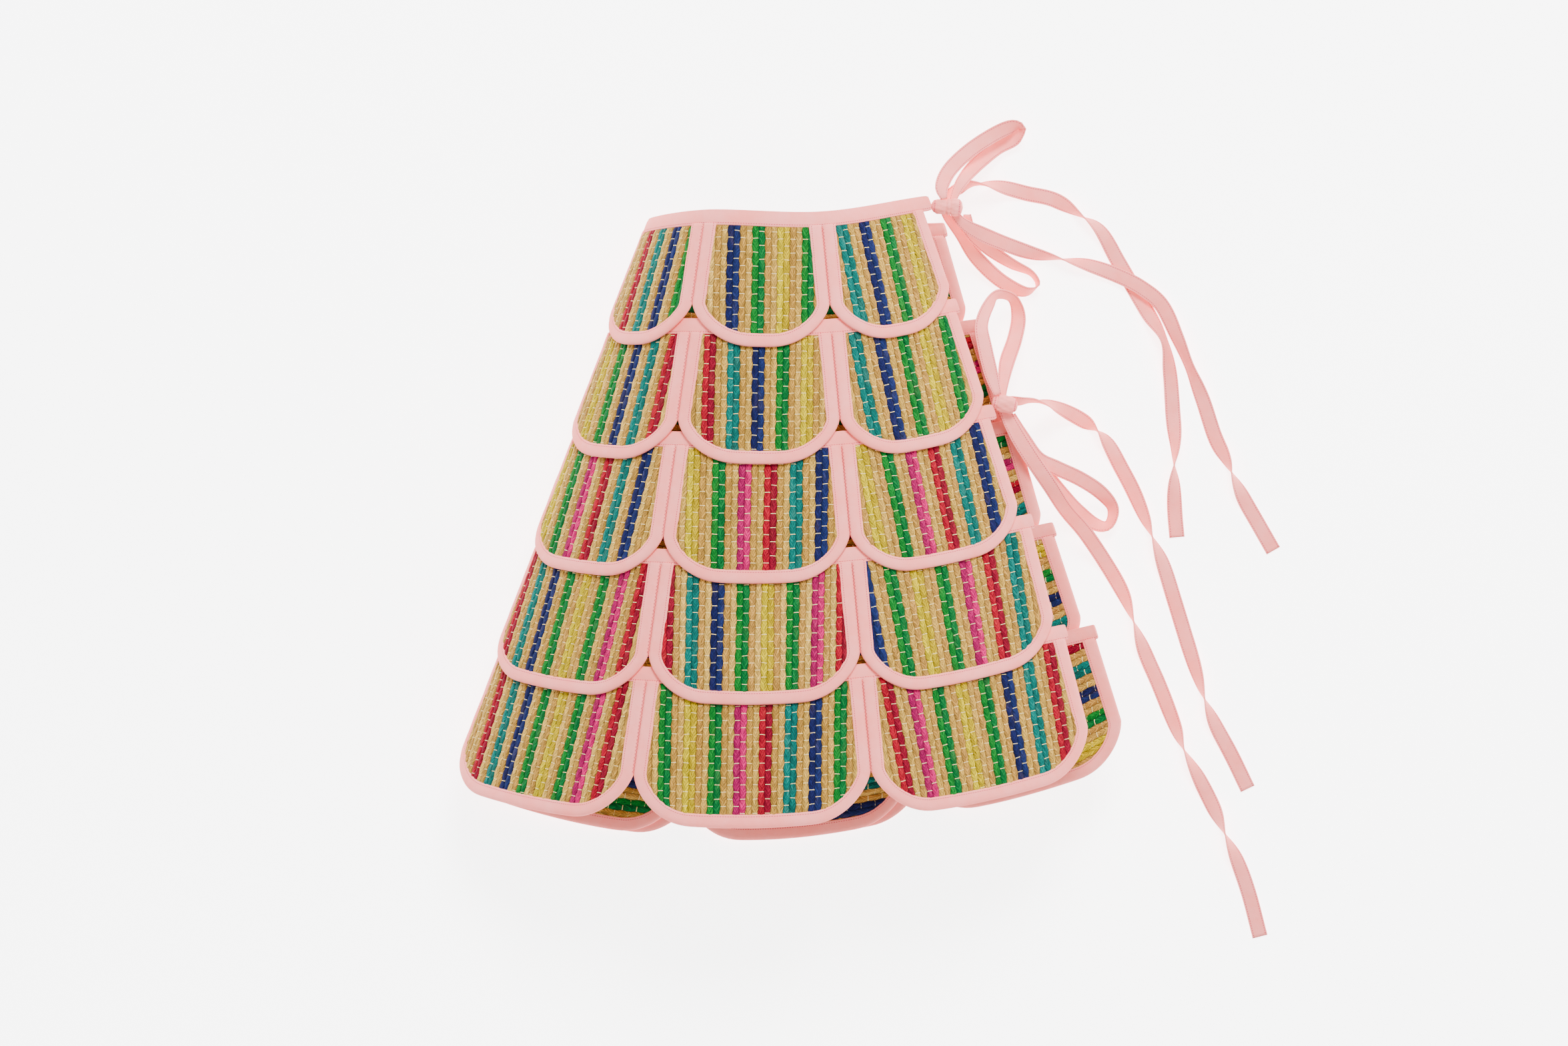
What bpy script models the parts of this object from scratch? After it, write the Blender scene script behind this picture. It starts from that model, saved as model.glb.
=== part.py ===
"""A scalloped straw skirt, lying on its back as an open tube, with two tied side bows.

Five tiers of bound straw tiles hang from five tape bands. The tube's cross-section runs from the front's
free edge over the front to the left side, and back under it to the back's free edge. Lengths are in
millimetres until a mesh is made, which is in metres. +Z is up and the waist is at +Y.
"""

import math

import bmesh
import bpy
import numpy as np

MM = 0.001

# The six seams between tiles, in order round the tube, at the waist line and at the hem line.
# Columns: name, waist x, y, z, hem x, y, z.
SEAMS = (
    ("front_free", 129.2, 313.8, 74.0, 306.0, -240.0, 126.0),
    ("front_right", 34.7, 297.0, 130.0, 85.4, -281.0, 198.0),
    ("front_left", -74.1, 298.9, 128.0, -146.4, -285.4, 195.0),
    ("side_fold", -129.2, 293.4, 36.0, -317.5, -258.5, 52.0),
    ("back_left", -46.5, 291.5, 8.0, -103.0, -309.0, 8.0),
    ("back_right", 68.5, 289.9, 8.0, 129.0, -290.0, 8.0),
    ("back_free", 151.6, 289.6, 60.0, 336.7, -233.2, 86.0),
)
# The tiers down the length of the skirt. Columns: band's top edge and tile's bottom edge, from the waist, and
# the depth of the tile's rounded corners.
TIERS = (
    (0.0, 134.5, 42.0),
    (107.0, 249.0, 43.0),
    (218.0, 365.0, 45.0),
    (332.5, 482.0, 47.0),
    (447.0, 600.6, 50.0),
)
# How far each tier's two free edges step out from the sheet's. Columns: the front's at the band and at the
# foot, the back's at the band and at the foot.
FREE_STEPS = (
    (0.0, 0.0, 0.0, -12.0),
    (1.0, -1.0, 3.0, -6.0),
    (0.0, -3.0, 3.0, -9.0),
    (7.0, -6.0, 2.0, -4.0),
    (5.0, -7.0, 7.0, -1.0),
)
LENGTH = 600.6
COLUMNS = ("right", "centre", "left")
# The tiles whose sides are the front's and the back's free edges.
FRONT_END = 0
BACK_END = 5

BAND_WIDTH = 15.6
BINDING_WIDTH = 13.0
# A corner is a quarter of a rounded curve: its width, and the powers that shape it by the side and the foot.
CORNER_WIDTH = 56.0
SIDE_POWER = 2.2
FOOT_POWER = 1.6
BELLY = 5.0
SEAM_GAP = 0.3
LAP_RISE = 6.0
FLATTENED = 0.6
REST_STRIP = 12.0

MAT_HALF = 1.5
BINDING_HALF = 2.0
BAND_HALF = 1.8
RIB_HEIGHT = 0.6
STRAND_PAIR = 12.5

UNDER_HALF = 1.5
UNDER_TOP = 490.0
UNDER_DROP = -1.0
UNDER_SHIFT = 15.0
UNDER_GAP = 0.95
UNDER_CORNER_LEFT = 4.0
HEM_RAISE = 4.4

TAPE_WIDTH = 15.0
TAPE_THICKNESS = 1.6
TAPE_STEP = 11.0
# How far the first and third bands, by their tiers, run on past the front's free edge to the knots.
TIED_OVERHANGS = {0: 10.0, 2: 6.8}
PINCH_DEPTH = 0.16
PINCH_SPREAD = 0.35

CLOTH_ROUGHNESS = 0.8
PINK = (0.88, 0.56, 0.53, 1.0)
STRAW = (0.60, 0.43, 0.20, 1.0)

# How finely each shape is made.
SECTION_STEPS = 16
LENGTH_STEPS = 40
ARC_STEPS = 5
RIB_STEPS = 4
BAND_STEPS = 7
UNDER_STEPS = 16
UNDER_ROWS = 3
ROUTE_STEPS = 12


def catmull_rom(points, steps):
    """Points of a smooth curve through the given ones, `steps` to each span."""
    padded = np.vstack([2 * points[0] - points[1], points, 2 * points[-1] - points[-2]])
    curve = []
    for i in range(1, len(padded) - 2):
        p0, p1, p2, p3 = padded[i - 1 : i + 3]
        for k in range(steps):
            t = k / steps
            curve.append(
                0.5 * (2 * p1 + (p2 - p0) * t + (2 * p0 - 5 * p1 + 4 * p2 - p3) * t**2
                       + (3 * p1 - p0 - 3 * p2 + p3) * t**3)
            )
    curve.append(padded[-2])
    return np.array(curve)


def rest_height(length):
    """The back's least height, so that its tiles' lower edges, or the under row, meet the floor."""
    past = max(0.0, (length - UNDER_TOP) / (LENGTH - UNDER_TOP))
    return LAP_RISE + BINDING_HALF - FLATTENED + HEM_RAISE * past


def section(length):
    """The tube's cross-section at a distance from the waist, as points spaced evenly within each tile."""
    seams = np.array([row[1:] for row in SEAMS])
    f = length / LENGTH
    curve = catmull_rom(seams[:, :3] * (1 - f) + seams[:, 3:] * f, SECTION_STEPS)
    curve[:, 2] = np.maximum(curve[:, 2], rest_height(length))
    rows = []
    widths = []
    for tile in range(len(SEAMS) - 1):
        part = curve[tile * SECTION_STEPS : (tile + 1) * SECTION_STEPS + 1]
        along = np.concatenate([[0.0], np.cumsum(np.linalg.norm(np.diff(part, axis=0), axis=1))])
        even = np.linspace(0.0, along[-1], SECTION_STEPS + 1)[: SECTION_STEPS]
        rows.extend(np.array([np.interp(even, along, part[:, k]) for k in range(3)]).T)
        widths.append(along[-1])
    rows.append(curve[-1])
    return np.array(rows), np.array(widths)


def make_sheet():
    """The skirt's neutral surface: its points, outward normals and tile widths on an even grid."""
    lengths = np.linspace(0.0, LENGTH + 2 * BAND_WIDTH, LENGTH_STEPS + 1)
    made = [section(length) for length in lengths]
    points = np.array([rows for rows, _ in made])
    widths = np.array([row for _, row in made])
    normals = np.cross(np.gradient(points, axis=1), np.gradient(points, axis=0))
    normals /= np.linalg.norm(normals, axis=2, keepdims=True)
    return lengths, points, normals, widths


LENGTHS, POINTS, NORMALS, WIDTHS = make_sheet()


def tile_width(tile, length):
    return float(np.interp(length, LENGTHS, WIDTHS[:, tile]))


def on_sheet(tile, across, length, out):
    """A point `across` mm from a tile's centre line, `length` mm from the waist and `out` mm outwards.

    `across` runs the way round the tube that the seams are listed.
    """
    u = (tile + 0.5 + across / tile_width(tile, length)) * SECTION_STEPS
    v = length / LENGTHS[-1] * LENGTH_STEPS
    last_u = POINTS.shape[1] - 1
    i = int(min(max(math.floor(u), 0), last_u - 1))
    j = int(min(max(math.floor(v), 0), LENGTH_STEPS - 1))
    du = u - i
    dv = v - j
    near = min(max(du, 0.0), 1.0)

    def blend(grid, a, b):
        upper = grid[j, i] * (1 - a) + grid[j, i + 1] * a
        lower = grid[j + 1, i] * (1 - a) + grid[j + 1, i + 1] * a
        return upper * (1 - b) + lower * b

    normal = blend(NORMALS, near, dv)
    return blend(POINTS, du, dv) + normal / np.linalg.norm(normal) * out


def on_tier(tile, tier, across, length, out):
    """A point of a tier, which stands out further down, and whose free edges step out or in."""
    top, bottom, _ = TIERS[tier]
    share = (length - top) / (bottom - top)
    if tile in (FRONT_END, BACK_END):
        way = -1 if tile == FRONT_END else 1
        at_band, at_foot = FREE_STEPS[tier][:2] if tile == FRONT_END else FREE_STEPS[tier][2:]
        step = at_band + (at_foot - at_band) * share
        across += way * step * (0.5 + way * across / tile_width(tile, length))
    return on_sheet(tile, across, length, LAP_RISE * share + out)


def corner_depth(over, width, depth):
    """How far down a rounded corner's curve is, `over` mm along its width from its middle."""
    return depth * max(0.0, 1.0 - min(over / width, 1.0) ** SIDE_POWER) ** (1 / FOOT_POWER)


def new_object(name, mesh, colour, collection):
    material = bpy.data.materials.new(name)
    material.use_nodes = True
    shader = material.node_tree.nodes["Principled BSDF"]
    shader.inputs["Base Color"].default_value = colour
    shader.inputs["Roughness"].default_value = CLOTH_ROUGHNESS
    mesh.materials.append(material)
    made = bpy.data.objects.new(name, mesh)
    collection.objects.link(made)
    return made


def loft(name, rings, colour, collection):
    """A closed body through rings of points, capped at both ends."""
    mesh = bpy.data.meshes.new(name)
    bm = bmesh.new()
    made = [[bm.verts.new([c * MM for c in point]) for point in ring] for ring in rings]
    count = len(rings[0])
    for ring, after in zip(made, made[1:]):
        for k in range(count):
            nxt = (k + 1) % count
            bm.faces.new((ring[k], ring[nxt], after[nxt], after[k]))
    for ring in (made[0], made[-1]):
        for k in range(count // 2 - 1):
            bm.faces.new((ring[k], ring[k + 1], ring[count - 2 - k], ring[count - 1 - k]))
    bmesh.ops.recalc_face_normals(bm, faces=bm.faces)
    if bm.calc_volume(signed=True) < 0:
        bmesh.ops.reverse_faces(bm, faces=bm.faces)
    bm.to_mesh(mesh)
    bm.free()
    return new_object(name, mesh, colour, collection)


def on_floor(point):
    return (point[0], point[1], max(point[2], 0.0))


def binding_path(tile, tier):
    """Stations of a tile's binding, up one side and down the other: outer and inner (across, length)."""
    top, bottom, depth = TIERS[tier]
    start = top + BAND_WIDTH + SEAM_GAP
    corner = bottom - depth
    half = tile_width(tile, corner) / 2 - SEAM_GAP / 2

    def belly(across):
        return BELLY * (across / half) ** 2

    right = []
    for length in (start, (start + corner) / 2):
        side = tile_width(tile, length) / 2 - SEAM_GAP / 2
        right.append(((side, length), (side - BINDING_WIDTH, length)))
    flat = half - CORNER_WIDTH
    for k in range(ARC_STEPS + 1):
        angle = math.pi / 2 * k / ARC_STEPS
        pair = []
        for inset in (0.0, BINDING_WIDTH):
            across = flat + (CORNER_WIDTH - inset) * math.cos(angle) ** (2 / SIDE_POWER)
            down = math.sin(angle) ** (2 / FOOT_POWER)
            pair.append((across, corner + (depth - inset) * down - belly(across) * down))
        right.append(tuple(pair))
    for k in (1, 2):
        across = flat * (1 - k / 2)
        drop = belly(across)
        right.append(((across, bottom - drop), (across, bottom - BINDING_WIDTH - drop)))
    left = [tuple((-a, b) for a, b in pair) for pair in right[-2::-1]]
    return right + left


def front_binding(tile, tier, collection):
    rings = []
    for outer, inner in binding_path(tile, tier):
        ring = []
        for (across, length), half in ((outer, BINDING_HALF * 0.7), (inner, BINDING_HALF)):
            ring.append((across, length, half))
        corners = [ring[0], ring[1]]
        points = [on_tier(tile, tier, a, b, h) for a, b, h in corners]
        points += [on_tier(tile, tier, a, b, -h) for a, b, h in reversed(corners)]
        rings.append([on_floor(p) for p in points])
    name = f"front_binding_{tier + 1}_{COLUMNS[tile]}"
    return loft(name, rings, PINK, collection)


def inner_outline(tile, tier):
    """The inner edge of a tile's binding, set back by the seam gap, from -across to +across."""
    inner = [pair[1] for pair in binding_path(tile, tier)][::-1]
    return [(a - math.copysign(SEAM_GAP, a) if abs(a) > 1 else a, b - SEAM_GAP) for a, b in inner]


def wall_ring(tile, tier, across_at, lengths, half, rib=0.0):
    """One column of a wall as a ring: down its outer face and back up its inner face."""
    outer = [on_tier(tile, tier, across_at(b), b, half + rib) for b in lengths]
    inner = [on_tier(tile, tier, across_at(b), b, -half) for b in reversed(lengths)]
    return [on_floor(p) for p in outer + inner]


def front_mat(tile, tier, collection):
    """A straw mat, with a rib raised in its outer face for each pair of strands."""
    top, bottom, depth = TIERS[tier]
    outline = inner_outline(tile, tier)
    start = top + BAND_WIDTH + SEAM_GAP
    widest = max(a for a, _ in outline)
    ends = sorted(p for p in outline if p[1] >= bottom - depth - SEAM_GAP)
    count = max(3, round(widest / STRAND_PAIR)) * RIB_STEPS
    rings = []
    for k in range(count + 1):
        share = 2 * k / count - 1
        end = float(np.interp(share * widest, [a for a, _ in ends], [b for _, b in ends]))

        def across_at(length, share=share):
            half = tile_width(tile, length) / 2 - SEAM_GAP / 2 - BINDING_WIDTH - SEAM_GAP
            return share * min(half, widest)

        rib = RIB_HEIGHT if k % 2 else 0.0
        lengths = (start, (start + end) / 2, end)
        rings.append(wall_ring(tile, tier, across_at, lengths, MAT_HALF, rib))
    return loft(f"front_mat_{tier + 1}_{COLUMNS[tile]}", rings, STRAW, collection)


def back_tile(tile, tier, collection):
    """A bound tile of the back, mat and binding in one wall."""
    top, bottom, depth = TIERS[tier]
    start = top + BAND_WIDTH + SEAM_GAP
    outer = sorted(pair[0] for pair in binding_path(tile, tier) if pair[0][1] >= bottom - depth)
    widest = outer[-1][0]
    shares = sorted({round(a / widest, 4) for a, _ in outer})
    rings = []
    for share in shares:
        end = float(np.interp(share * widest, [a for a, _ in outer], [b for _, b in outer]))

        def across_at(length, share=share):
            return share * min(tile_width(tile, length) / 2 - SEAM_GAP / 2, widest)

        lengths = (start, (start + end) / 2, end - REST_STRIP, end)
        rings.append(wall_ring(tile, tier, across_at, lengths, BINDING_HALF))
    name = f"back_tile_{tier + 1}_{COLUMNS[5 - tile]}"
    return loft(name, rings, STRAW, collection)


def band(tier, overhang, collection):
    """The tape along a tier's top, from the front's free edge round the left side to the back's."""
    top = TIERS[tier][0]
    rings = []
    stops = [(0, -0.5, -overhang)]
    for tile in range(6):
        stops += [(tile, k / BAND_STEPS - 0.5, 0.0) for k in range(BAND_STEPS)]
    stops.append((5, 0.5, 0.0))
    if not overhang:
        stops = stops[1:]
    for tile, share, past in stops:
        ring = []
        for out, order in ((BAND_HALF, (0, 1)), (-BAND_HALF, (1, 0))):
            for end in order:
                length = top + end * BAND_WIDTH
                across = share * tile_width(tile, length) + past
                ring.append(on_tier(tile, tier, across, length, out))
        rings.append([on_floor(p) for p in ring])
    return loft(f"band_{tier + 1}", rings, PINK, collection)


def under_row(collection):
    """A row of two tiles below the back's lowest tier, of which only the hem shows."""
    bottom = LENGTH + UNDER_DROP
    tier = len(TIERS) - 1
    depth = TIERS[tier][2]
    gap = BINDING_HALF + UNDER_GAP + UNDER_HALF
    rings = []
    for tile in (3, 4):
        half = tile_width(tile, bottom - depth) / 2
        for k in range(UNDER_STEPS + 1 if tile == 4 else UNDER_STEPS):
            share = 2 * k / UNDER_STEPS - 1
            over = max(0.0, abs(share) * half - (half - CORNER_WIDTH))
            down = max(corner_depth(over, CORNER_WIDTH, depth), UNDER_CORNER_LEFT)
            end = bottom - depth + down - BELLY * share**2 * down / depth
            lengths = [UNDER_TOP + (end - UNDER_TOP) * r / UNDER_ROWS for r in range(UNDER_ROWS + 1)]

            def point(b, out, share=share, tile=tile):
                across = share * tile_width(tile, b) / 2 + UNDER_SHIFT
                past = b - min(b, LENGTH)
                rise = LAP_RISE * past / (LENGTH - TIERS[tier][0])
                return on_tier(tile, tier, across, b, gap + out - rise)

            outer = [point(b, UNDER_HALF) for b in lengths]
            inner = [point(b, -UNDER_HALF) for b in reversed(lengths)]
            rings.append([on_floor(p) for p in outer + inner])
    return loft("under_row", rings, STRAW, collection)


# The tapes' routes. Columns: x, y, height above what it lies on, turn about its length in degrees, share of
# its full width.
# Up round the tall loop, back under the knot and out to the long tail.
WAIST_TIE_A = (
    (154, 312, 70, 20, 0.45),
    (152, 324, 66, 10, 0.9),
    (160, 341, 52, 5, 1),
    (179, 360, 36, 5, 1),
    (202, 376, 22, 10, 1),
    (221, 385, 14, 30, 1),
    (231, 383, 9, 60, 0.9),
    (224, 374, 4, 20, 1),
    (207, 365, 7, 10, 1),
    (187, 348, 24, 10, 1),
    (172, 330, 50, 10, 0.8),
    (164, 314, 59.8, 0, 0.5),
    (163, 302, 59.8, 0, 0.5),
    (172, 290, 56, 10, 0.7),
    (190, 280, 45, 10, 1),
    (217, 270, 24, 0, 1),
    (243, 262, 7, 35, 1),
    (269, 257, 0, 88, 1),
    (297, 251, 0, 150, 1),
    (325, 241, 3.5, 180, 1),
    (348, 229, 6.5, 180, 1),
    (368, 212, 3.5, 180, 1),
    (383, 181, 0, 215, 1),
    (395, 152, 0, 235, 1),
    (408, 120, 0, 200, 1),
    (420, 84, 0, 185, 1),
    (431, 61, 0, 235, 1),
    (438, 44, 0, 290, 1),
    (449, 22, 0, 350, 1),
    (461, 1, 0, 360, 1),
    (477, -27, 0, 360, 1),
)
# Down round the low loop, back under the knot and out to the shorter tail.
WAIST_TIE_B = (
    (177, 298, 52, 10, 0.5),
    (180, 283, 42, 15, 0.9),
    (199, 266, 20, 35, 1),
    (222, 252, 4, 50, 1),
    (241, 243, 1, 70, 0.9),
    (247, 231, 0, 80, 0.9),
    (234, 225, 3, 130, 1),
    (211, 236, 4, 160, 1),
    (188, 257, 13, 160, 1),
    (171, 279, 34, 175, 0.7),
    (156, 298, 54, 180, 0.5),
    (155, 312, 56, 180, 0.5),
    (168, 323, 42, 190, 0.8),
    (185, 328, 25, 255, 0.9),
    (211, 327, 5, 330, 1),
    (237, 321, 0, 360, 1),
    (263, 315, 0, 365, 1),
    (288, 300, 0, 440, 1),
    (308, 285, 0, 505, 1),
    (325, 256, 0, 540, 1),
    (340, 230, 0, 540, 1),
    (355, 204, 0, 530, 1),
    (370, 178, 0, 480, 1),
    (376, 146, 0, 520, 1),
    (379, 107, 0, 540, 1),
    (381, 77, 0, 590, 1),
    (380, 58, 0, 630, 1),
    (380, 35, 0, 690, 1),
    (381, 9, 0, 720, 1),
    (383, -14, 0, 720, 1),
)
# Up round the open loop, back under the knot and down to the longest tail.
SIDE_TIE_A = (
    (205, 123, 91, 10, 0.5),
    (199, 143, 87, 10, 0.9),
    (193, 169, 82, 20, 1),
    (190, 190, 76, 30, 1),
    (197, 209, 60, 35, 0.95),
    (208, 221, 34, 50, 0.9),
    (223, 217, 14, 50, 0.95),
    (228, 200, 10, 20, 1),
    (224, 179, 26, 10, 1),
    (215, 154, 54, 5, 1),
    (211, 131, 75, 0, 0.6),
    (210, 117, 81.6, 0, 0.5),
    (214, 104, 82, 0, 0.8),
    (226, 81, 82.8, 0, 1),
    (240, 59, 81, 0, 1),
    (256, 36, 72, 10, 1),
    (272, 13, 50, 20, 1),
    (292, -9, 24, 10, 1),
    (314, -40, 3, 0, 1),
    (330, -68, 0, 30, 1),
    (340, -95, 0, 90, 1),
    (352, -127, 0, 165, 1),
    (366, -159, 0, 180, 1),
    (381, -198, 0, 215, 1),
    (389, -220, 0, 270, 1),
    (404, -248, 0, 335, 1),
    (418, -276, 0, 375, 1),
    (429, -302, 0, 450, 1),
    (442, -330, 0, 520, 1),
    (453, -361, 0, 540, 1),
    (464, -403, 0, 540, 1),
)
# Down round the low loop, back under the knot and out to the right.
SIDE_TIE_B = (
    (219, 104, 79.2, 0, 0.5),
    (230, 82, 79, 0, 0.9),
    (244, 62, 76.5, 0, 1),
    (263, 53, 62, 10, 1),
    (286, 43, 42, 15, 1),
    (307, 30, 20, 20, 1),
    (320, 14, 5, 40, 0.95),
    (316, -2, 1, 50, 0.95),
    (303, -1, 3, 30, 1),
    (285, 12, 18, 15, 1),
    (269, 28, 40, 10, 1),
    (253, 46, 60, 5, 1),
    (238, 64, 72.5, 0, 0.9),
    (221, 89, 75.6, 0, 0.7),
    (209, 107, 76.6, 0, 0.5),
    (212, 117, 77.4, 0, 0.5),
    (228, 117, 72, 50, 0.8),
    (242, 117, 50, 80, 1),
    (260, 114, 22, 130, 1),
    (280, 106, 4, 170, 1),
    (294, 98, 0, 205, 1),
    (305, 90, 0, 270, 1),
    (316, 77, 0, 330, 1),
    (328, 55, 0, 360, 1),
    (340, 32, 0, 370, 1),
    (351, 6, 0, 405, 1),
    (358, -12, 0, 450, 1),
    (370, -42, 0, 520, 1),
    (381, -77, 0, 540, 1),
    (392, -113, 0, 545, 1),
    (402, -146, 0, 580, 1),
    (409, -170, 0, 630, 1),
    (420, -196, 0, 695, 1),
    (436, -226, 0, 720, 1),
    (452, -259, 0, 720, 1),
)

# The knots. Columns: x, y, z, length, width, height, direction in degrees.
KNOTS = {
    "waist_knot": (157.0, 304.5, 69.0, 31.0, 17.0, 14.0, -4.0),
    "side_knot": (212.0, 114.0, 90.0, 25.0, 16.0, 13.0, -12.0),
}


def tape(name, route, collection):
    """A flat tape swept along a smooth curve through its route, twisting and narrowing as the route says."""
    rows = np.array(route, dtype=float)
    curve = catmull_rom(rows, ROUTE_STEPS)
    along = np.concatenate([[0.0], np.cumsum(np.linalg.norm(np.diff(curve[:, :3], axis=0), axis=1))])
    count = max(4, round(along[-1] / TAPE_STEP))
    even = np.linspace(0.0, along[-1], count + 1)
    rows = np.array([np.interp(even, along, curve[:, k]) for k in range(5)]).T
    rings = []
    for k, (x, y, height, turn, share) in enumerate(rows):
        before = rows[max(k - 1, 0)]
        after = rows[min(k + 1, count)]
        ahead = np.array([after[0] - before[0], after[1] - before[1], after[2] - before[2]])
        ahead /= np.linalg.norm(ahead)
        flat = np.cross((0.0, 0.0, 1.0), ahead)
        flat /= np.linalg.norm(flat)
        rise = np.cross(ahead, flat)
        angle = math.radians(turn)
        across = flat * math.cos(angle) + rise * math.sin(angle)
        through = rise * math.cos(angle) - flat * math.sin(angle)
        half = TAPE_WIDTH * share / 2
        thick = TAPE_THICKNESS / 2
        reach = half * abs(across[2]) + thick * abs(through[2])
        centre = np.array([x, y, max(height, 0.0) + reach])
        rings.append([
            tuple(centre + across * a * half + through * b * thick)
            for a, b in ((-1, 1), (1, 1), (1, -1), (-1, -1))
        ])
    return loft(name, rings, PINK, collection)


def knot(name, collection):
    """A knot: a pulled-in lump of tape, longer than it is wide."""
    x, y, z, length, width, height, direction = KNOTS[name]
    mesh = bpy.data.meshes.new(name)
    bm = bmesh.new()
    bmesh.ops.create_uvsphere(bm, u_segments=14, v_segments=9, radius=1.0)
    bm.to_mesh(mesh)
    bm.free()
    turn = math.radians(direction)
    for vert in mesh.vertices:
        pinch = 1.0 - PINCH_DEPTH * math.exp(-((vert.co.x / PINCH_SPREAD) ** 2))
        px = vert.co.x * length / 2
        py = vert.co.y * width / 2 * pinch
        vert.co = (
            (x + px * math.cos(turn) - py * math.sin(turn)) * MM,
            (y + px * math.sin(turn) + py * math.cos(turn)) * MM,
            (z + vert.co.z * height / 2 * pinch) * MM,
        )
    return new_object(name, mesh, PINK, collection)


def centre_on_floor(parts):
    """Moves the whole skirt so that the middle of its box's underside is at the origin."""
    corners = np.array([tuple(v.co) for part in parts for v in part.data.vertices])
    low = corners.min(axis=0)
    high = corners.max(axis=0)
    shift = -(low + high) / 2
    shift[2] = -low[2]
    for part in parts:
        for vert in part.data.vertices:
            vert.co = (vert.co.x + shift[0], vert.co.y + shift[1], vert.co.z + shift[2])
    print("camera axis in the skirt's frame, mm:", [round(float(s) / MM, 2) for s in shift])


def main():
    for old in list(bpy.data.objects):
        bpy.data.objects.remove(old, do_unlink=True)
    skirt = bpy.data.collections.new("skirt")
    bpy.context.scene.collection.children.link(skirt)
    parts = []
    for tier in range(len(TIERS)):
        for tile in range(3):
            parts.append(front_mat(tile, tier, skirt))
            parts.append(front_binding(tile, tier, skirt))
        for tile in range(3, 6):
            parts.append(back_tile(tile, tier, skirt))
        parts.append(band(tier, TIED_OVERHANGS.get(tier, 0.0), skirt))
    parts.append(under_row(skirt))
    parts.append(tape("waist_tie_a", WAIST_TIE_A, skirt))
    parts.append(tape("waist_tie_b", WAIST_TIE_B, skirt))
    parts.append(tape("side_tie_a", SIDE_TIE_A, skirt))
    parts.append(tape("side_tie_b", SIDE_TIE_B, skirt))
    parts += [knot(name, skirt) for name in KNOTS]
    centre_on_floor(parts)


main()
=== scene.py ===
"""The looks of a scalloped straw wrap skirt: sewn straw mats with bound edges, tape bands and side bows.

The skirt's neutral surface is worked out here from the same tables as the frame's solids. Lengths are in
millimetres until a mesh is made, which is in metres in the row frame.
"""

import math
from dataclasses import dataclass

import bmesh
import bpy
import numpy as np
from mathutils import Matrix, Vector


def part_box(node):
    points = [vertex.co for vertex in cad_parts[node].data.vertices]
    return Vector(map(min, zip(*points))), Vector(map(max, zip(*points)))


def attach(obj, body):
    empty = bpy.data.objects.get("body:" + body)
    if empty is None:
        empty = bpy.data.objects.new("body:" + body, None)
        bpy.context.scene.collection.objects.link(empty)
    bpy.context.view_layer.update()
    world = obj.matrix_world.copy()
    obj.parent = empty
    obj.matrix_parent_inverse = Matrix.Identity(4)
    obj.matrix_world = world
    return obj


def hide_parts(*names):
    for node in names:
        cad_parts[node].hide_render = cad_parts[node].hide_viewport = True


MM = 0.001
TAU = 2 * math.pi

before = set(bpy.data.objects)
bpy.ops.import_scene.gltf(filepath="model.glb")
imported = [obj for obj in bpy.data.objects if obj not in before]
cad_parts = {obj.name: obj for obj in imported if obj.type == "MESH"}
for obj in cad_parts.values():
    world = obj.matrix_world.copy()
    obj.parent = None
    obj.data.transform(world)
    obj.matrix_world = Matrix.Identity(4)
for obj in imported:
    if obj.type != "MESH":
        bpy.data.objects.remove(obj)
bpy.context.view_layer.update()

# The seams between tiles and the two free edges, in order round the tube, at the waist and at the hem.
# Columns: name, waist x, y, z, hem x, y, z.
SEAMS = (
    ("front_free", 129.2, 313.8, 74.0, 306.0, -240.0, 126.0),
    ("front_right", 34.7, 297.0, 130.0, 85.4, -281.0, 198.0),
    ("front_left", -74.1, 298.9, 128.0, -146.4, -285.4, 195.0),
    ("side_fold", -129.2, 293.4, 36.0, -317.5, -258.5, 52.0),
    ("back_left", -46.5, 291.5, 8.0, -103.0, -309.0, 8.0),
    ("back_right", 68.5, 289.9, 8.0, 129.0, -290.0, 8.0),
    ("back_free", 151.6, 289.6, 60.0, 336.7, -233.2, 86.0),
)
# The tiers down the length of the skirt. Columns: band's top edge and tile's bottom edge, from the waist, and
# the depth of the tile's rounded corners.
TIERS = (
    (0.0, 134.5, 42.0),
    (107.0, 249.0, 43.0),
    (218.0, 365.0, 45.0),
    (332.5, 482.0, 47.0),
    (447.0, 600.6, 50.0),
)
# How far each tier's two free edges step out from the sheet's. Columns: the front's at the band and at the
# foot, the back's at the band and at the foot.
FREE_STEPS = (
    (0.0, 0.0, 0.0, -12.0),
    (1.0, -1.0, 3.0, -6.0),
    (0.0, -3.0, 3.0, -9.0),
    (7.0, -6.0, 2.0, -4.0),
    (5.0, -7.0, 7.0, -1.0),
)
LENGTH = 600.6
COLUMNS = ("right", "centre", "left", "left", "centre", "right")
FRONT_TILES = (0, 1, 2)
# The tiles whose sides are the front's and the back's free edges.
FRONT_END = 0
BACK_END = 5

BAND_WIDTH = 15.6
BINDING_WIDTH = 13.0
# A tile's rounded corner: its width, and the powers that shape it by the side and the foot.
CORNER_WIDTH = 56.0
SIDE_POWER = 2.2
FOOT_POWER = 1.6
# How much lower a tile's foot hangs at its middle than at its sides.
BELLY = 5.0
SEAM_GAP = 0.3
# How far a tier stands out from the sheet at its foot.
LAP_RISE = 6.0
# How much the back's bindings are pressed flat where they rest.
FLATTENED = 0.6
BINDING_HALF = 2.0

# The row under the back's hem: half its thickness, its upper end, how far it ends past the hem, its shift
# sideways, its gap to the back's tiles, and how far it lifts the hem.
UNDER_HALF = 1.5
UNDER_TOP = 490.0
UNDER_DROP = -1.0
UNDER_SHIFT = 15.0
UNDER_GAP = 0.95
HEM_RAISE = 4.4

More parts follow.
